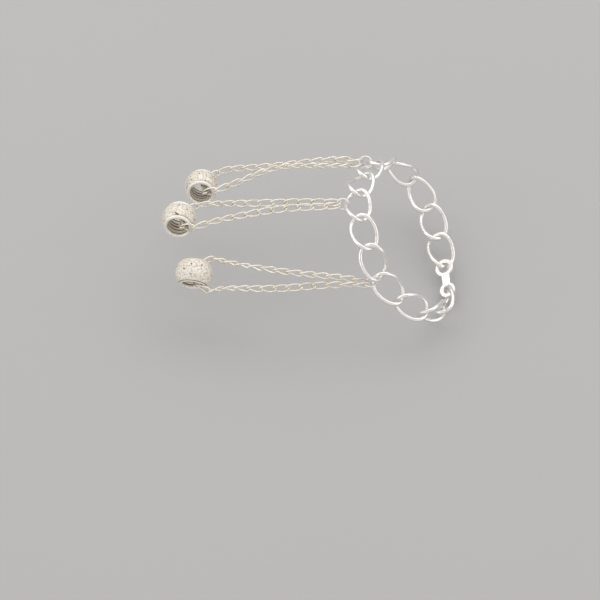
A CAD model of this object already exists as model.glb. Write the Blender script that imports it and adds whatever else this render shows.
import math

import bpy
import numpy as np
from mathutils import Matrix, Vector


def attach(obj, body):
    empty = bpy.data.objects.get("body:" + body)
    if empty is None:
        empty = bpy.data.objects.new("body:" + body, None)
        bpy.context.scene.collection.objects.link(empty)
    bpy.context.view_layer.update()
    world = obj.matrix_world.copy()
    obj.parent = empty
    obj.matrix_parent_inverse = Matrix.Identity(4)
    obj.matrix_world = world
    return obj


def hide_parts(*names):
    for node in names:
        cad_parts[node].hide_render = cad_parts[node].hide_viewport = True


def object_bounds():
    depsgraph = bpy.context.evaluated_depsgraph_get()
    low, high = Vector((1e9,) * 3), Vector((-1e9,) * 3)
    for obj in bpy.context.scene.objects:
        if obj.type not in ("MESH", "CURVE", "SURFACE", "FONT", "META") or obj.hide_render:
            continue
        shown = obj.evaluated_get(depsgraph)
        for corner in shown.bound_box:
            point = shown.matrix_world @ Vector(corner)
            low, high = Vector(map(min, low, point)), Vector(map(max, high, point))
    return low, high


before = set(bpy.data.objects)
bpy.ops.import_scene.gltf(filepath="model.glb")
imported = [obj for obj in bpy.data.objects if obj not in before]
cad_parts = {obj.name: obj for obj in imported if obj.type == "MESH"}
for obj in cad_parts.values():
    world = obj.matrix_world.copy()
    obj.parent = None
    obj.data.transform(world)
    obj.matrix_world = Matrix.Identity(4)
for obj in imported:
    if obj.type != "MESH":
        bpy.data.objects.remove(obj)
CAD_BOX = [list(corner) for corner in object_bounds()]

MM = 0.001
SIDES = ["little", "ring", "middle"]

# The sizes and routes below repeat part.scad's, in mm.
WRIST_LINKS = 15
CLASP_PLACE = WRIST_LINKS - 3
LINK = dict(length=17.6, width=12.2, wire=1.7, twist=70.0, squareness=2.3)
LINK_PLAY = 0.2
FINE = dict(length=7.7, width=3.45, wire=0.69, twist=80.0, squareness=2.8)
FINE_PLAY = 0.14
CLASP = dict(plate=1.7, band=1.9, claw_bore=4.6, eye_bore=3.4, play=0.6)
RING_OUTER, RING_WIRE = 6.0, 0.75
BEAD_BALLS = {"little": 7.4, "ring": 7.4, "middle": 8.0}
BEAD_LENGTH = 10.6
MOUTH_DIAMETER, RIM_WIRE = 9.2, 1.6

WRIST_ROUTE = [
    [6, 39, -8], [-6, 40, 4], [-12, 30, 13], [-18, 12, 21], [-18, -4, 22], [-13, -18, 17],
    [-8, -27, 5], [7, -32, -7], [18, -25, -18], [21, -9, -23], [18, 9, -20], [14, 26, -16],
]
WRIST_HALF = [36, 22]
LINK_ROLLS = [
    [0.03, -10], [0.1, 9], [0.17, 2], [0.37, 2], [0.43, -8], [0.5, -30], [0.57, -54],
    [0.7, -56], [0.77, -25], [0.83, 4], [0.9, -10], [0.97, -17],
]
HOOKS = [[2, 309], [5, 262], [8, 219]]
STRAND_SPREADS = [[30, 27], [20, 20], [22, 34]]
HOOK_PLAYS = [0, 0.24, 0]
RING_TILTS = [0, 0, 21]
BEAD_MIDDLES = [[-85.5, 26.5, 3], [-95, 5.5, 7.5], [-88.5, -20, 2.5]]
BEAD_AXES = [[0.07, 0.94, -0.33], [0.11, 0.97, -0.19], [0.12, 0.93, 0.35]]
BEAD_LIFTS = [26, 18, 10]
UPPER_ROUTES = [
    [[-30, 34.5, 12], [-54.5, 31.5, 11.5], [-72.5, 34, 6]],
    [[-41, 5.6, 19.5], [-63.5, 6.5, 17.5], [-82.5, 11.5, 10.5]],
    [[-23.5, -26.9, 8.5], [-46.5, -25.5, 10.5], [-69.5, -19.5, 8.5]],
]
LOWER_ROUTES = [
    [[-69.5, 23.5, 10.5], [-52, 28.5, 14.5], [-30, 30, 13.5]],
    [[-76, 1, 13.5], [-51.5, 1.5, 20], [-34, 1.9, 21.1]],
    [[-74, -27.5, 2], [-54, -30, 5], [-30, -29.5, 7]],
]
FACE = [0, -0.6, 0.8]
SLACK = 0.97
UPPER_ROLLS = [
    [[0.04, -96], [0.13, -40], [0.2, -50], [0.75, -50], [0.87, -38], [0.96, -32]],
    [[0.04, -3], [0.13, -14], [0.5, -12], [0.88, -58], [0.96, -45]],
    [[0.04, -46], [0.6, -50], [0.75, -72], [0.96, -78]],
]
LOWER_ROLLS = [
    [[0.04, 39], [0.13, 40], [0.2, 55], [0.87, 65], [0.96, 108]],
    [[0.04, 42], [0.13, 55], [0.2, 55], [0.45, 25], [0.87, -7], [0.96, -14]],
    [[0.04, 80], [0.56, 5], [0.7, 5], [0.87, 61], [0.96, 61]],
]
CURVE_STEPS = 24
PAST_EDGE, PAST_FACE = 2.92, 2.04
MOUTH_REACH, MIDDLE_REACH, MOUTH_DEPTH = 1.83, 0.96, 0.32
RIM_ROLL, INNER_ROLL = 16, 57

LINK_PITCH = LINK["length"] - 2 * LINK["wire"] - LINK_PLAY
FINE_PITCH = FINE["length"] - 2 * FINE["wire"] - FINE_PLAY
RING_RADIUS = (RING_OUTER - RING_WIRE) / 2

# The photograph's scale and the place of the frame's origin in it
MM_PER_PIXEL = 0.43
ORIGIN_PIXEL = (400, 240)
PICTURE = 600
ELEVATION = 53

elevation = math.radians(ELEVATION)
ACROSS = np.array([1.0, 0, 0])
UPWARDS = np.array([0, math.sin(elevation), math.cos(elevation)])
TOWARDS = np.array([0, -math.cos(elevation), math.sin(elevation)])

# How much fuller the wires show than the CAD's, which keep clear of one another
WRIST_FULLER, FINE_FULLER = 0.1, 0.11


def vec(v):
    return np.array(v, float)


def unit(v):
    v = vec(v)
    return v / np.linalg.norm(v)


def square_to(v, w):
    """Part of v that is square to the direction w."""
    return unit(vec(v) - np.dot(v, w) * vec(w))


# ---- routes and frames of the links

def curve_point(a, b, c, d, t):
    return 0.5 * (2 * b + (c - a) * t + (2 * a - 5 * b + 4 * c - d) * t * t
                  + (3 * b - a - 3 * c + d) * t ** 3)


def closed_curve(points):
    p, n = vec(points), len(points)
    made = [curve_point(p[(i - 1) % n], p[i % n], p[(i + 1) % n], p[(i + 2) % n], k / CURVE_STEPS)
            for i in range(n) for k in range(CURVE_STEPS)]
    return np.array(made + [p[0]])


def open_curve(points):
    p, last = vec(points), len(points) - 1
    made = [curve_point(p[max(i - 1, 0)], p[i], p[i + 1], p[min(i + 2, last)], k / CURVE_STEPS)
            for i in range(last) for k in range(CURVE_STEPS)]
    return np.array(made + [p[last]])


def distances(curve):
    return np.concatenate([[0], np.cumsum(np.linalg.norm(np.diff(curve, axis=0), axis=1))])


def equal_points(curve, count):
    s = distances(curve)
    at = np.linspace(0, s[-1], count + 1)
    return np.stack([np.interp(at, s, curve[:, k]) for k in range(3)], 1)


def lookup(x, table):
    return np.interp(x, [row[0] for row in table], [row[1] for row in table])


def link_frame(a, b, up, roll):
    along = unit(b - a)
    facing = square_to(up, along)
    across = np.cross(facing, along)
    r = math.radians(roll)
    return np.array([(a + b) / 2, along, math.cos(r) * across + math.sin(r) * facing,
                     math.cos(r) * facing - math.sin(r) * across])


def rounded(x, squareness):
    return np.sign(x) * np.abs(x) ** (2 / squareness)


def link_line(link_at, link, t):
    """Points of a link's centre line at the angles t, and the way its wire faces there."""
    half, side = (link["length"] - link["wire"]) / 2, (link["width"] - link["wire"]) / 2
    share = rounded(np.cos(t), link["squareness"])
    x = (half * share)[:, None]
    y = (side * rounded(np.sin(t), link["squareness"]))[:, None]
    turn = (-math.radians(link["twist"]) / 2 * share)[:, None]
    middle, along, across, facing = link_at
    points = middle + x * along + y * np.cos(turn) * across + y * np.sin(turn) * facing
    return points, np.cos(turn) * facing - np.sin(turn) * across


wrist_curve = closed_curve(WRIST_ROUTE)
wrist_scale = WRIST_LINKS * LINK_PITCH / distances(wrist_curve)[-1]
WRIST_JOINTS = wrist_scale * equal_points(wrist_curve, WRIST_LINKS)


def wrist_frame(place):
    a, b = WRIST_JOINTS[place - 1], WRIST_JOINTS[place]
    p = (a + b) / 2
    outward = [0, p[1] / WRIST_HALF[0] ** 2, p[2] / WRIST_HALF[1] ** 2]
    return link_frame(a, b, outward, lookup((place - 0.5) / WRIST_LINKS, LINK_ROLLS))


def ring_frame(side):
    """A jump ring's middle, the way that it is pulled, across, and its axis."""
    place, degrees = HOOKS[side]
    step = math.radians(1)
    t = math.radians(degrees)
    points, _ = link_line(wrist_frame(place), LINK, np.array([t - step, t, t + step]))
    axis = unit(points[2] - points[0])
    strands = (vec(UPPER_ROUTES[side][0]) + vec(LOWER_ROUTES[side][2])) / 2
    pull = square_to(strands - points[1], axis)
    offset = RING_RADIUS - RING_WIRE / 2 - LINK["wire"] / 2 - LINK_PLAY
    tilt = math.radians(RING_TILTS[side])
    tilted = math.cos(tilt) * axis + math.sin(tilt) * np.cross(axis, pull)
    return [points[1] + offset * pull, pull, np.cross(tilted, pull), tilted]


def ring_joint(side, strand):
    middle, pull, across, _ = ring_frame(side)
    up = across if across[1] > 0 else -across
    angle = math.radians(STRAND_SPREADS[side][strand] * (1 if strand == 0 else -1))
    reach = RING_RADIUS - (RING_WIRE + FINE_PLAY) / 2 - HOOK_PLAYS[side]
    return middle + reach * (math.cos(angle) * pull + math.sin(angle) * up)


def bead_back(side):
    axis = unit(BEAD_AXES[side])
    lift = math.radians(BEAD_LIFTS[side])
    level, rise = square_to([1, 0, 0], axis), square_to([0, 0, 1], axis)
    return square_to(math.cos(lift) * level + math.sin(lift) * rise, axis)


def bead_joints(side):
    middle, axis, back = vec(BEAD_MIDDLES[side]), unit(BEAD_AXES[side]), bead_back(side)
    rim_reach, rim_height = MOUTH_DIAMETER / 2 + PAST_EDGE, BEAD_LENGTH / 2 + PAST_FACE
    mouth_height = BEAD_LENGTH / 2 - MOUTH_DEPTH
    return [middle + rim_height * axis + rim_reach * back,
            middle + mouth_height * axis + MOUTH_REACH * back,
            middle + MIDDLE_REACH * back,
            middle - mouth_height * axis + MOUTH_REACH * back,
            middle - rim_height * axis + rim_reach * back]


def strand_frames(points, rolls):
    curve = open_curve(points)
    count = math.ceil(distances(curve)[-1] / (FINE_PITCH * SLACK))
    joints = equal_points(curve, count)
    return [link_frame(joints[i], joints[i + 1], FACE, lookup((i + 0.5) / count, rolls))
            for i in range(count)]


def finger_chain_frames(side):
    joints, axis, back = bead_joints(side), unit(BEAD_AXES[side]), bead_back(side)
    upper = strand_frames([ring_joint(side, 0), *UPPER_ROUTES[side], joints[0]], UPPER_ROLLS[side])
    lower = strand_frames([joints[4], *LOWER_ROUTES[side], ring_joint(side, 1)], LOWER_ROLLS[side])
    inside = [link_frame(joints[0], joints[1], axis, RIM_ROLL),
              link_frame(joints[1], joints[2], back, INNER_ROLL),
              link_frame(joints[2], joints[3], back, -INNER_ROLL),
              link_frame(joints[3], joints[4], -axis, -RIM_ROLL)]
    return upper + inside + lower


# ---- meshes

# Steps along a wire and sides round it
WRIST_STEPS, WRIST_SIDES = 120, 24
FINE_STEPS, FINE_SIDES = 56, 12
RING_STEPS, RING_SIDES = 96, 16
# Angles at which the length along a link's wire is measured
MEASURED_ANGLES = 1441

# Places of the closing seams, in degrees: on even and odd links, and on the jump rings
WRIST_SEAMS, FINE_SEAMS, RING_SEAM = (276, 84), (280, 80), 100
# The lines that make a link's seam, the half width of its bottom and the reach that is kept
# free of other lines, as shares of the wire, and its bottom's share of the wire's radius
SEAM_LINES = np.array([-0.055, -0.022, 0.022, 0.055])
SEAM_BOTTOM, SEAM_REACH, SEAM_DEPTH = 0.03, 0.1, 0.965
# The same for a jump ring, in radians about its axis, and where its other lines start
RING_SEAM_LINES = np.array([-0.02, -0.008, 0.008, 0.02])
RING_SEAM_BOTTOM, RING_SEAM_DEPTH, RING_START = 0.01, 0.95, 0.001


def mesh_object(name, vertices, faces, material, recess=None):
    """An object of points in mm. recess, where given, is a value for each point."""
    mesh = bpy.data.meshes.new(name)
    mesh.from_pydata((np.array(vertices) * MM).tolist(), [], faces)
    mesh.polygons.foreach_set("use_smooth", [True] * len(mesh.polygons))
    mesh.update()
    if recess is not None:
        layer = mesh.attributes.new("recess", "FLOAT", "POINT")
        layer.data.foreach_set("value", np.array(recess, np.float32))
    made = bpy.data.objects.new(name, mesh)
    bpy.context.scene.collection.objects.link(made)
    made.data.materials.append(material)
    return made


def ring_faces(sections, sides, first=0):
    """Faces of a closed tube whose sections follow one another."""
    made = []
    for j in range(sections):
        here, after = first + j * sides, first + ((j + 1) % sections) * sides
        for k in range(sides):
            k2 = (k + 1) % sides
            made.append((here + k, after + k, after + k2, here + k2))
    return made


def tube_points(line, facing, radii, sides):
    """Points round a closed centre line. facing is a way that is roughly square to the line."""
    slope = np.roll(line, -1, 0) - np.roll(line, 1, 0)
    slope /= np.linalg.norm(slope, axis=1)[:, None]
    out = np.cross(slope, facing)
    out /= np.linalg.norm(out, axis=1)[:, None]
    side = np.cross(out, slope)
    a = 2 * math.pi * np.arange(sides) / sides
    around = np.cos(a)[None, :, None] * out[:, None] + np.sin(a)[None, :, None] * side[:, None]
    return (line[:, None] + radii[:, None, None] * around).reshape(-1, 3)


def even_angles(link_at, link, count, seam):
    """Angles that lie evenly along a link's wire, with its seam's lines among them, and the
    share of the wire's radius at each."""
    t = np.linspace(0, 2 * math.pi, MEASURED_ANGLES)
    points, _ = link_line(link_at, link, t)
    s = distances(points)
    at = np.arange(count) * s[-1] / count
    groove = np.interp(seam, t, s) + SEAM_LINES * link["wire"]
    off = np.abs(at - groove.mean())
    at = np.sort(np.concatenate([at[off > SEAM_REACH * link["wire"]], groove]))
    off = np.abs(at - groove.mean())
    depth = np.where(off < SEAM_BOTTOM * link["wire"], SEAM_DEPTH, 1.0)
    return np.interp(at, s, t), depth


def link_mesh(link_at, link, count, sides, seam, fuller):
    """Points of a link's wire, and the number of its sections."""
    t, depth = even_angles(link_at, link, count, seam)
    line, facing = link_line(link_at, link, t)
    return tube_points(line, facing, depth * (link["wire"] + fuller) / 2, sides), len(t)


# ---- materials

# Noise scales of the dull spots, the polish and the dents, as multiples of the tints' scale
SPOT_SCALE, POLISH_SCALE, DENT_SCALE = 5.5, 2.3, 7
# The stretch of each noise that is used
DRIFT_RANGE, SPOT_RANGE, POLISH_RANGE = (0.36, 0.64), (0.6, 0.74), (0.3, 0.7)
DENT_DEPTH = 0.0001
# A recess of 1 adds this many times the dents' strength and this much roughness. One below 0
# is worn bright instead, by so much for each unit.
DENT_PER_RECESS, ROUGH_PER_RECESS, BRIGHT_PER_RECESS = 1.7, 0.35, -1.6
WORN_BRIGHT = (0.96, 0.925, 0.86)
# The two colour inputs and the colour output of a mix node
FIRST_COLOUR, SECOND_COLOUR, MIXED_COLOUR = 6, 7, 2


def node(tree, kind, **values):
    """A new node, with each value set on the node or else on its input of that name."""
    made = tree.nodes.new(kind)
    for name, value in values.items():
        if hasattr(made, name):
            setattr(made, name, value)
        else:
            made.inputs[name.replace("_", " ")].default_value = value
    return made


def noise(tree, scale, detail, roughness):
    """A noise in the object's own coordinates."""
    where = node(tree, "ShaderNodeTexCoord")
    made = node(tree, "ShaderNodeTexNoise", Scale=scale, Detail=detail, Roughness=roughness)
    tree.links.new(where.outputs["Object"], made.inputs["Vector"])
    return made.outputs["Fac"]


def ranged(tree, value, used, to=(0.0, 1.0)):
    """A value stretched from the range used to the range to, and kept inside it."""
    made = node(tree, "ShaderNodeMapRange", From_Min=used[0], From_Max=used[1],
                To_Min=to[0], To_Max=to[1])
    tree.links.new(value, made.inputs["Value"])
    return made.outputs["Result"]


def mixed(tree, share, first, second):
    """A colour mixed towards another. Each of the two is an output or a plain colour."""
    made = node(tree, "ShaderNodeMix", data_type="RGBA")
    tree.links.new(share, made.inputs["Factor"])
    for index, colour in ((FIRST_COLOUR, first), (SECOND_COLOUR, second)):
        if isinstance(colour, tuple):
            made.inputs[index].default_value = (*colour, 1)
        else:
            tree.links.new(colour, made.inputs[index])
    return made.outputs[MIXED_COLOUR]


def scaled(tree, value, by, add=0.0, clamp=False):
    """value * by + add, where add is a number or an output."""
    made = node(tree, "ShaderNodeMath", operation="MULTIPLY_ADD", use_clamp=clamp)
    tree.links.new(value, made.inputs[0])
    made.inputs[1].default_value = by
    if isinstance(add, float):
        made.inputs[2].default_value = add
    else:
        tree.links.new(add, made.inputs[2])
    return made.outputs["Value"]


def metal(name, light, warm, dulled, rough, scale, metallic, dent, recess=None):
    """Plated metal: two tints that drift into one another, small dull spots where the plating
    has gone grey, uneven polish and tiny dents. recess, where given, is the colour of the metal
    in the hollows, and the mesh then says how deep each point lies."""
    made = bpy.data.materials.new(name)
    made.use_nodes = True
    tree = made.node_tree
    shader = tree.nodes["Principled BSDF"]
    shader.inputs["Metallic"].default_value = metallic

    drift = ranged(tree, noise(tree, scale, 4.0, 0.6), DRIFT_RANGE)
    spots = ranged(tree, noise(tree, scale * SPOT_SCALE, 3.0, 0.55), SPOT_RANGE)
    colour = mixed(tree, spots, mixed(tree, drift, light, warm), dulled)
    polish = noise(tree, scale * POLISH_SCALE, 5.0, 0.65)
    roughness = ranged(tree, polish, POLISH_RANGE, rough)
    relief = node(tree, "ShaderNodeBump", Strength=dent, Distance=DENT_DEPTH)

    if recess is not None:
        hollow = node(tree, "ShaderNodeAttribute", attribute_name="recess").outputs["Fac"]
        colour = mixed(tree, hollow, colour, recess)
        bright = scaled(tree, hollow, BRIGHT_PER_RECESS, clamp=True)
        colour = mixed(tree, bright, colour, WORN_BRIGHT)
        roughness = scaled(tree, hollow, ROUGH_PER_RECESS, roughness)
        strength = scaled(tree, hollow, dent * DENT_PER_RECESS, dent, clamp=True)
        tree.links.new(strength, relief.inputs["Strength"])

    tree.links.new(colour, shader.inputs["Base Color"])
    tree.links.new(roughness, shader.inputs["Roughness"])
    tree.links.new(noise(tree, scale * DENT_SCALE, 6.0, 0.7), relief.inputs["Height"])
    tree.links.new(relief.outputs["Normal"], shader.inputs["Normal"])
    return made


wrist_metal = metal("wrist_chain", (0.96, 0.95, 0.94), (0.93, 0.89, 0.865), (0.66, 0.62, 0.58),
                    (0.13, 0.22), 160, metallic=0.95, dent=0.08)
fine_metal = metal("finger_chain", (0.95, 0.925, 0.88), (0.88, 0.8, 0.68), (0.5, 0.42, 0.32),
                   (0.18, 0.3), 260, metallic=0.9, dent=0.18)
bead_metal = metal("bead", (0.95, 0.92, 0.86), (0.89, 0.82, 0.71), (0.66, 0.53, 0.38),
                   (0.38, 0.55), 330, metallic=0.45, dent=0.45, recess=(0.22, 0.16, 0.1))


def place(piece, cad_node, slot):
    """Hands a piece in, in place of its CAD node."""
    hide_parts(cad_node)
    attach(piece, "root")


# ---- wrist chain

for number in range(1, WRIST_LINKS + 1):
    if number == CLASP_PLACE:
        continue
    seam = math.radians(WRIST_SEAMS[number % 2])
    points, count = link_mesh(wrist_frame(number), LINK, WRIST_STEPS, WRIST_SIDES, seam,
                              WRIST_FULLER)
    name = f"wrist_link_{number:02d}"
    place(mesh_object(name + "_wire", points, ring_faces(count, WRIST_SIDES), wrist_metal), name,
          "wrist_chain")


# ---- clasp: the flat claw and eye of the CAD solid with its edges rounded

# Radius and steps of the rounding
CLASP_EDGE, CLASP_EDGE_STEPS = 0.35, 4


def clasp_loops():
    """Outline of the clasp and its two bores, as closed lists of x, y."""
    hold = LINK_PITCH / 2 + CLASP["play"]
    claw_x, eye_x = hold - CLASP["claw_bore"] / 2, CLASP["eye_bore"] / 2 - hold
    claw_r, eye_r = (CLASP["claw_bore"] / 2 + CLASP["band"], CLASP["eye_bore"] / 2 + CLASP["band"])

    def arc(x, r, start, stop, steps):
        a = np.radians(np.linspace(start, stop, steps))
        return [(x + r * math.cos(k), r * math.sin(k)) for k in a]

    claw_cut = 180 - math.degrees(math.asin(CLASP["band"] / claw_r))
    eye_cut = math.degrees(math.asin(CLASP["band"] / eye_r))
    outline = (arc(claw_x, claw_r, -claw_cut, claw_cut, 49)
               + arc(eye_x, eye_r, eye_cut, 360 - eye_cut, 45))
    bores = [arc(claw_x, CLASP["claw_bore"] / 2, 0, 360, 49)[:-1],
             arc(eye_x, CLASP["eye_bore"] / 2, 0, 360, 41)[:-1]]
    return outline, bores


def make_clasp():
    outline, bores = clasp_loops()
    curve = bpy.data.curves.new("clasp_outline", "CURVE")
    curve.dimensions = "2D"
    curve.fill_mode = "BOTH"
    curve.extrude = CLASP["plate"] / 2 - CLASP_EDGE
    curve.bevel_depth = CLASP_EDGE
    curve.bevel_resolution = CLASP_EDGE_STEPS
    curve.offset = -CLASP_EDGE
    for loop in [outline, *bores]:
        spline = curve.splines.new("POLY")
        spline.points.add(len(loop) - 1)
        spline.points.foreach_set("co", [c for x, y in loop for c in (x, y, 0, 1)])
        spline.use_cyclic_u = True
    holder = bpy.data.objects.new("clasp_outline", curve)
    bpy.context.scene.collection.objects.link(holder)
    whole = holder.evaluated_get(bpy.context.evaluated_depsgraph_get())
    solid = bpy.data.meshes.new_from_object(whole)
    bpy.data.objects.remove(holder)
    bpy.data.curves.remove(curve)
    middle, along, across, facing = wrist_frame(CLASP_PLACE)
    points = np.array([v.co for v in solid.vertices])
    faces = [tuple(p.vertices) for p in solid.polygons]
    bpy.data.meshes.remove(solid)
    points = middle + points[:, :1] * along + points[:, 1:2] * across + points[:, 2:] * facing
    return mesh_object("clasp_plate", points, faces, wrist_metal)


place(make_clasp(), "clasp", "wrist_chain")


# ---- jump rings

for side, word in enumerate(SIDES):
    middle, pull, across, axis = ring_frame(side)
    seam = math.radians(RING_SEAM)
    a = np.sort(np.concatenate([np.linspace(0, 2 * math.pi, RING_STEPS + 1)[:-1] + RING_START,
                                seam + RING_SEAM_LINES]))
    depth = np.where(np.abs(a - seam) < RING_SEAM_BOTTOM, RING_SEAM_DEPTH, 1.0) * RING_WIRE / 2
    line = middle + RING_RADIUS * (np.cos(a)[:, None] * pull + np.sin(a)[:, None] * across)
    points = tube_points(line, np.tile(axis, (len(a), 1)), depth, RING_SIDES)
    faces = ring_faces(len(a), RING_SIDES)
    place(mesh_object(f"jump_ring_{word}_wire", points, faces, wrist_metal),
          f"jump_ring_{word}", "wrist_chain")


# ---- finger chains

for side, word in enumerate(SIDES):
    points, faces, first = [], [], 0
    for number, link_at in enumerate(finger_chain_frames(side)):
        seam = math.radians(FINE_SEAMS[number % 2])
        made, count = link_mesh(link_at, FINE, FINE_STEPS, FINE_SIDES, seam, FINE_FULLER)
        points.append(made)
        faces += ring_faces(count, FINE_SIDES, first)
        first += len(made)
    place(mesh_object(f"finger_chain_{word}_links", np.concatenate(points), faces, fine_metal),
          f"finger_chain_{word}", "finger_chain")


# ---- beads

# Dark dots seen on each bead, as places in the photograph
DOTS = {"little": [(198.7, 172.6), (205.5, 180.4), (190.5, 179)],
        "ring": [(179.4, 204.2), (175.6, 212.6), (176.5, 213.4), (177.4, 214.2), (178.3, 215)],
        "middle": [(191.5, 263.5), (202.4, 265), (191, 274.1), (184, 268.5)]}
# Tan patches at the little bead's edges, as places in the photograph
TANNED = {"little": [(214.5, 177.5), (186.5, 184.5), (211.5, 171.5)]}
# Depth of the crease between body and rim: degrees round the near mouth, share
CREASES = {"little": [[0, 0.7], [90, 0.4], [200, 0.1], [290, 0.35], [360, 0.7]],
           "ring": [[0, 0.8], [90, 0.4], [180, 0.05], [262, 0.1], [276, 0.8], [298, 0.6],
                    [360, 0.8]],
           "middle": [[0, 1.0], [90, 0.7], [200, 0.8], [300, 0.9], [360, 1.0]]}
FAR_CREASE = 0.6
# How far a crease of 0 goes in, and how much further one of 1 does
CREASE_LEAST, CREASE_MORE = 0.05, 0.35
# Two points of the crease, as shares of the way from the body's edge to the rim
CREASE_PLACES = (0.35, 0.7)

# Kinds of surface along a bead's section, and the recess of each. The crease's is a multiple of
# its depth, and the body's comes from its grain.
BODY, CREASE, RIM, RING, BORE = 1, 2, 3, 4, 5
CREASE_RECESS, RIM_RECESS, RING_RECESS, BORE_RECESS = 1.1, -0.5, 0.9, 0.04
# The grained body lies this far under the CAD's ball, and reaches up to this height
BODY_DROP = 0.16
BODY_TOPS = {"little": 3.75, "ring": 3.75, "middle": 4.7}
# The stretch of the rim's wire that shows, in degrees, from its outer side over its top
RIM_STARTS, RIM_STOP = {"little": -20, "ring": -20, "middle": 50}, 212
# The bore from the rim to its middle: depth of a turned ring, height, kind
BORE_LINE = [(0.22, 4.2, RING), (0.34, 3.95, RING), (0.3, 3.55, RING), (0.04, 3.4, BORE),
             (0.0, 3.0, BORE), (0.0, 2.2, BORE), (0.3, 2.05, RING), (0.3, 1.5, RING),
             (0.04, 1.35, BORE), (0.0, 0.9, BORE), (0.0, 0.5, BORE),
             (0.2, 0.4, RING), (0.22, 0.0, RING)]
# Steps along the body and the rim of half a section, and sections round a bead
BODY_STEPS, RIM_STEPS, AROUND = 38, 22, 320
# Seed of the first bead's grain. The others follow it.
FIRST_SEED = 11

# Heights and lengths below are in mm, and angles in radians.
# Grains, lumps and scattered dots: the way from one to the next, and the share of it by which
# each may stray. Rows lie closer together by ROW_SHARE. Sizes vary by SIZE_RANGE.
GRAIN_PITCH, LUMP_PITCH, DOT_PITCH, STRAY = 1.0, 3.1, 7.5, 0.45
ROW_SHARE, SIZE_RANGE = 0.88, (0.7, 1.2)
# Radius and height of a grain and a lump, and how deep the gaps between them go, as shares of
# the height
GRAIN_RADIUS, GRAIN_HEIGHT, GRAIN_GAP = 0.52, 0.15, 0.6
LUMP_RADIUS, LUMP_HEIGHT, LUMP_GAP = 2.0, 0.07, 0.4
# A dot and a tan patch fade out from EDGE - 1 to EDGE of their radius.
DOT_RADIUS, DOT_DEPTH, DOT_EDGE = 0.36, 0.34, 1.5
TAN_RADIUS, TAN_EDGE = 2.6, 1.2
# Scattered dots keep this far from the seen ones, as a share of the body's radius, and inside
# this share of its reach
DOT_CLEAR, DOT_REACH = 0.45, 0.8
# The relief fades out over this angle at the body's edges, and stays between these heights
FADE, LOWEST, HIGHEST = 0.08, -0.4, 0.16
# The middle bead's grains are higher by this share where the chain leaves towards the wrist,
# and less so up to this angle from there. So much of their recess grows with them.
COARSER, COARSE_ANGLE, COARSE_RECESS = 1.1, 0.5, 0.4
# The body's recess between grains and gaps, its change for each unit of grain and its most, and
# the recess that a dot and a tan patch add
LEVEL_RECESS, GRAIN_RECESS, MOST_RECESS = 0.13, 0.5, 0.36
DOT_RECESS, TAN_RECESS = 0.9, 0.3
# Parts in which the search for the nearest spots is made, to spare the memory
SEARCH_PARTS = 16


def bead_frame(word):
    side = SIDES.index(word)
    axis, back = unit(BEAD_AXES[side]), bead_back(side)
    return vec(BEAD_MIDDLES[side]), back, np.cross(axis, back), axis


def seen_place(word, pixel):
    """Unit direction, in a bead's own axes, of the place on it that shows at a pixel."""
    middle, back, level, axis = bead_frame(word)
    ball = BEAD_BALLS[word]
    right = (pixel[0] - ORIGIN_PIXEL[0]) * MM_PER_PIXEL - middle @ ACROSS
    up = (ORIGIN_PIXEL[1] - pixel[1]) * MM_PER_PIXEL - middle @ UPWARDS
    near = math.sqrt(max(ball ** 2 - right ** 2 - up ** 2, 0))
    way = unit(right * ACROSS + up * UPWARDS + near * TOWARDS)
    return [way @ back, way @ level, way @ axis]


def scattered(ball, reach, pitch, rng):
    """Directions and sizes of grains over a ball, in uneven rings from -reach to reach."""
    rings = int(round(2 * reach * ball / (pitch * ROW_SHARE)))
    made = []
    for i in range(rings + 1):
        latitude = -reach + 2 * reach * i / rings
        count = int(round(2 * math.pi * ball * math.cos(latitude) / pitch))
        for k in range(count):
            turn = 2 * math.pi * (k + 0.5 * (i % 2) + rng.uniform(-STRAY, STRAY)) / count
            lat = latitude + rng.uniform(-STRAY, STRAY) * pitch / ball
            made.append([math.cos(lat) * math.cos(turn), math.cos(lat) * math.sin(turn),
                         math.sin(lat), rng.uniform(*SIZE_RANGE)])
    return np.array(made)


def nearest(away, spots, radius):
    """Distance in mm over a ball from each direction to its nearest spot, and that spot's size."""
    gap, size = np.empty(len(away)), np.empty(len(away))
    for part in np.array_split(np.arange(len(away)), SEARCH_PARTS):
        apart = radius * np.linalg.norm(away[part][:, None] - spots[None, :, :3], axis=2)
        best = apart.argmin(1)
        gap[part], size[part] = apart[np.arange(len(part)), best], spots[best, 3]
    return gap, size


def bead_profile(word):
    """Half of a bead's section, from its middle to the middle of its bore, as r, z and kind, with
    the body's radius and the angle that the body reaches."""
    mouth, rim = MOUTH_DIAMETER / 2, RIM_WIRE / 2
    rim_r, rim_z = mouth + rim, BEAD_LENGTH / 2 - rim
    base = BEAD_BALLS[word] - BODY_DROP
    reach = math.asin(BODY_TOPS[word] / base)
    start = math.radians(RIM_STARTS[word])
    made = [(base * math.cos(a), base * math.sin(a), BODY)
            for a in np.linspace(0, reach, BODY_STEPS)]
    edge, rim_edge = made[-1], (rim_r + rim * math.cos(start), rim_z + rim * math.sin(start))
    made += [((1 - share) * edge[0] + share * rim_edge[0],
              (1 - share) * edge[1] + share * rim_edge[1], CREASE) for share in CREASE_PLACES]
    made += [(rim_r + rim * math.cos(a), rim_z + rim * math.sin(a), RIM)
             for a in np.linspace(start, math.radians(RIM_STOP), RIM_STEPS)]
    made += [(mouth + depth, z, kind) for depth, z, kind in BORE_LINE]
    return np.array(made), base, reach


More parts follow.
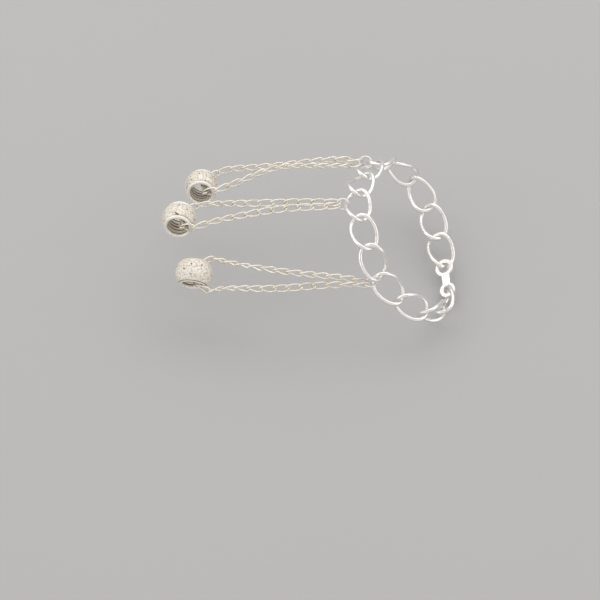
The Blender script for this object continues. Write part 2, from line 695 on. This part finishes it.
def body_relief(word, away, base, reach, rng):
    """Height and recess of a bead's body in the directions away from its middle."""
    grains = scattered(base, reach, GRAIN_PITCH, rng)
    lumps = scattered(base, reach, LUMP_PITCH, rng)
    far = scattered(base, reach * DOT_REACH, DOT_PITCH, rng)

    gap, size = nearest(away, grains, base)
    grain = np.clip(1 - (gap / (GRAIN_RADIUS * size)) ** 2, -GRAIN_GAP, 1)
    gap, size = nearest(away, lumps, base)
    lump = np.clip(1 - (gap / LUMP_RADIUS) ** 2, -LUMP_GAP, 1) * size
    seen = np.array([seen_place(word, pixel) + [1.0] for pixel in DOTS[word]])
    clear = [np.linalg.norm(seen[:, :3] - spot[:3], axis=1).min() > DOT_CLEAR for spot in far]
    gap, size = nearest(away, np.concatenate([seen, far[clear]]), base)
    dot = np.clip(DOT_EDGE - gap / (DOT_RADIUS * size), 0, 1)

    coarse = np.ones(len(away))
    if word == "middle":
        off_back = np.arccos(np.clip(away[:, 0] / np.hypot(away[:, 0], away[:, 1]), -1, 1))
        coarse += COARSER * np.clip(1 - off_back / COARSE_ANGLE, 0, 1)
    fade = np.clip((reach - np.abs(np.arcsin(away[:, 2]))) / FADE, 0, 1)
    height = (GRAIN_HEIGHT * grain * coarse + LUMP_HEIGHT * lump) * fade - DOT_DEPTH * dot
    recess = np.clip(LEVEL_RECESS - grain * GRAIN_RECESS, 0, MOST_RECESS)
    recess = recess * (1 - COARSE_RECESS + COARSE_RECESS * coarse) + DOT_RECESS * dot
    if word in TANNED:
        spots = np.array([seen_place(word, pixel) + [1.0] for pixel in TANNED[word]])
        gap, size = nearest(away, spots, base)
        recess += TAN_RECESS * np.clip(TAN_EDGE - gap / TAN_RADIUS, 0, 1)
    return np.clip(height, LOWEST, HIGHEST), recess


def bead_mesh(word, seed):
    """A bead about its own axis: an uneven grained body, a crease, a smooth rim round each mouth
    and a bore with turned rings."""
    upper, base, reach = bead_profile(word)
    lower = upper[1:-1][::-1] * [1, -1, 1]
    loop = np.concatenate([upper, lower])
    turn = 2 * math.pi * np.arange(AROUND) / AROUND
    r, z, kind = (np.repeat(loop[:, k][:, None], AROUND, 1) for k in range(3))
    turns = np.repeat(turn[None], len(loop), 0)

    # The crease: deeper where the photograph shows it, the same all round the far mouth
    crease = np.where(z < 0, lookup(np.degrees(turns), CREASES[word]), FAR_CREASE)
    shrink = np.where(kind == CREASE, CREASE_LEAST + CREASE_MORE * crease, 0)
    length = np.hypot(r, z)
    r, z = r * (1 - shrink / length), z * (1 - shrink / length)
    points = np.stack([r * np.cos(turns), r * np.sin(turns), z], -1)
    recess = np.where(kind == CREASE, CREASE_RECESS * crease, 0)
    for which, value in ((RING, RING_RECESS), (RIM, RIM_RECESS), (BORE, BORE_RECESS)):
        recess = recess + np.where(kind == which, value, 0)

    body = kind == BODY
    away = points[body]
    away = away / np.linalg.norm(away, axis=1)[:, None]
    height, recess[body] = body_relief(word, away, base, reach, np.random.default_rng(seed))
    points[body] += away * height[:, None]

    middle, back, level, axis = bead_frame(word)
    flat = points.reshape(-1, 3)
    placed = middle + flat[:, :1] * back + flat[:, 1:2] * level + flat[:, 2:] * axis
    faces = [tuple(reversed(f)) for f in ring_faces(len(loop), AROUND)]
    return placed, faces, np.clip(recess, -1, 1).reshape(-1)


for side, word in enumerate(SIDES):
    points, faces, recess = bead_mesh(word, FIRST_SEED + side)
    place(mesh_object(f"bead_{word}_body", points, faces, bead_metal, recess), f"bead_{word}",
          "bead")


# ---- stage, light and camera

# Two pale tones that drift into one another, and the floor's roughness
FLOOR_TONES, FLOOR_ROUGH = ((0.48, 0.478, 0.475), (0.495, 0.493, 0.49)), 0.75
# Half the floor's width, and how far it lies under the part, in mm
FLOOR_HALF, FLOOR_GAP = 3000.0, 0.4


def floor_material():
    made = bpy.data.materials.new("floor")
    made.use_nodes = True
    tree = made.node_tree
    shader = tree.nodes["Principled BSDF"]
    tone = mixed(tree, noise(tree, 3.0, 2.0, 0.5), FLOOR_TONES[0], FLOOR_TONES[1])
    tree.links.new(tone, shader.inputs["Base Color"])
    shader.inputs["Roughness"].default_value = FLOOR_ROUGH
    return made


def make_floor():
    half, low = FLOOR_HALF, CAD_BOX[0][2] / MM - FLOOR_GAP
    points = [(-half, -half, low), (half, -half, low), (half, half, low), (-half, half, low)]
    floor = mesh_object("floor", points, [(0, 1, 2, 3)], floor_material())


make_floor()


def aim(made, place_mm, towards, up):
    """Puts an object at a place, with its +Z along towards and its +Y near up."""
    back = unit(towards)
    right = unit(np.cross(up, back))
    top = np.cross(back, right)
    rows = [[right[k], top[k], back[k], place_mm[k] * MM] for k in range(3)]
    made.matrix_world = Matrix(rows + [[0, 0, 0, 1]])


# The place that the lights point at, and a way near +Y that none of them points along
TARGET, NEAR_Y = [-40, 0, 0], [0.1, 1, 0.2]


def softbox(name, place_mm, width, height, power, colour=(1, 1, 1)):
    """A rectangular light, in mm and watts."""
    light = bpy.data.lights.new(name, "AREA")
    light.shape = "RECTANGLE"
    light.size, light.size_y = width * MM, height * MM
    light.energy = power
    light.color = colour
    made = bpy.data.objects.new(name, light)
    bpy.context.scene.collection.objects.link(made)
    aim(made, place_mm, vec(place_mm) - vec(TARGET), NEAR_Y)
    made.visible_camera = False


softbox("light_top", [-60, 520, 760], 1900, 900, 3.2)
softbox("light_left", [-900, -120, 330], 900, 420, 0.6, (1.0, 0.985, 0.965))
softbox("light_right", [820, -60, 330], 900, 420, 0.5)
softbox("light_front", [-40, -900, 90], 1400, 120, 0.2, (1.0, 0.975, 0.95))

# Tones of the studio all round, from the far side to the camera's side, by the cosine of the
# angle to the camera's side. The middle ones are a little warm.
WORLD_ENDS = (0.1, (0.62, 0.62, 0.62)), (0.95, (0.68, 0.67, 0.655))
WORLD_TONES, WORLD_WARMTH = ((0.3, 0.95), (0.7, 1.0), (0.82, 0.64)), (1.0, 0.985, 0.965)


def make_world():
    """A pale studio, brighter in a ring round the camera's side."""
    world = bpy.data.worlds.new("studio")
    bpy.context.scene.world = world
    world.use_nodes = True
    tree = world.node_tree
    background = tree.nodes["Background"]
    where = node(tree, "ShaderNodeTexCoord")
    towards = node(tree, "ShaderNodeVectorMath", operation="DOT_PRODUCT")
    towards.inputs[1].default_value = TOWARDS
    tree.links.new(where.outputs["Generated"], towards.inputs[0])
    ramp = node(tree, "ShaderNodeValToRGB")
    stops = ramp.color_ramp.elements
    for stop, (position, colour) in zip(stops, WORLD_ENDS):
        stop.position, stop.color = position, (*colour, 1)
    for position, tone in WORLD_TONES:
        stop = stops.new(position)
        stop.color = (*(tone * share for share in WORLD_WARMTH), 1)
    tree.links.new(towards.outputs["Value"], ramp.inputs["Fac"])
    tree.links.new(ramp.outputs["Color"], background.inputs["Color"])
    background.inputs["Strength"].default_value = 1.0


make_world()
bpy.context.scene.view_settings.view_transform = "Standard"

# A long lens, in mm, because the photograph shows nearly no perspective. Its scale is right at
# NEAR mm from the origin.
LENS, SENSOR, NEAR = 600.0, 36.0, 8.0
aim_x = (PICTURE / 2 - ORIGIN_PIXEL[0]) * MM_PER_PIXEL
aim_up = (ORIGIN_PIXEL[1] - PICTURE / 2) * MM_PER_PIXEL
distance = PICTURE * MM_PER_PIXEL * LENS / SENSOR
camera = bpy.data.cameras.new("camera")
camera.lens, camera.sensor_width = LENS, SENSOR
holder = bpy.data.objects.new("camera", camera)
bpy.context.scene.collection.objects.link(holder)
aim(holder, aim_x * ACROSS + aim_up * UPWARDS + (NEAR + distance) * TOWARDS, TOWARDS, UPWARDS)
bpy.context.scene.camera = holder
